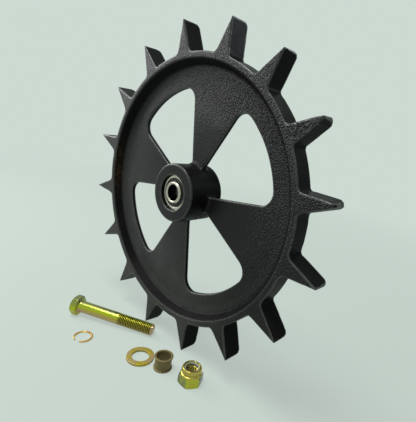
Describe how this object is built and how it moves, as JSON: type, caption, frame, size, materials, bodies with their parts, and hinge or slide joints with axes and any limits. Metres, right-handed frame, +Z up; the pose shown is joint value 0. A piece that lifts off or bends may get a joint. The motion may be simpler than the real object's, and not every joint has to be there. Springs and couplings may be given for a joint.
{
  "type": "planter press wheel",
  "caption": "Black cast toothed press wheel with a windowed web, turning on sealed ball bearings in its hub, with its loose axle bolt, washer, bush, snap ring and lock nut.",
  "frame": {"origin": "on the axle at the middle of the rim's width", "axes": "+Y along the axle towards the wheel's rear, +Z up, the wheel's front and the fasteners towards -Y"},
  "size_m": [0.3242, 0.1044, 0.3242],
  "materials": {
    "casting_black": "satin black paint over a sand-cast surface",
    "ring_steel": "ground",
    "ball_steel": "polished",
    "spacer_steel": "turned",
    "cage_plastic": "matte",
    "seal_rubber": "matte",
    "yellow_zinc": "yellow passivated zinc plate",
    "olive_plate": "dull olive-brown plate",
    "copper_plate": "bright copper-coloured plate",
    "insert_nylon": "matte"
  },
  "bodies": {
    "axle_set": {"front_inner_ring": "ring_steel", "rear_inner_ring": "ring_steel", "spacer_sleeve": "spacer_steel", "axle_bolt": "yellow_zinc", "flat_washer": "yellow_zinc", "flanged_bush": "olive_plate", "snap_ring": "copper_plate", "lock_nut": "yellow_zinc", "nut_insert": "insert_nylon"},
    "wheel": {"wheel_casting": "casting_black", "front_outer_ring": "ring_steel", "rear_outer_ring": "ring_steel", "front_outboard_seal": "seal_rubber", "front_inboard_seal": "seal_rubber", "rear_outboard_seal": "seal_rubber", "rear_inboard_seal": "seal_rubber"},
    "front_cage_set": {"front_balls": "ball_steel", "front_cage": "cage_plastic"},
    "rear_cage_set": {"rear_balls": "ball_steel", "rear_cage": "cage_plastic"}
  },
  "joints": [
    {"name": "wheel_spin", "type": "hinge", "parent": "axle_set", "child": "wheel", "pos_m": [0, 0, 0], "axis": [0, 1, 0], "continuous": true},
    {"name": "front_cage_spin", "type": "hinge", "parent": "axle_set", "child": "front_cage_set", "pos_m": [0, 0, 0], "axis": [0, 1, 0], "continuous": true},
    {"name": "rear_cage_spin", "type": "hinge", "parent": "axle_set", "child": "rear_cage_set", "pos_m": [0, 0, 0], "axis": [0, 1, 0], "continuous": true}
  ],
  "couplings": [
    {"joint": "front_cage_spin", "follows": "wheel_spin", "ratio": 0.59375},
    {"joint": "rear_cage_spin", "follows": "wheel_spin", "ratio": 0.59375}
  ]
}
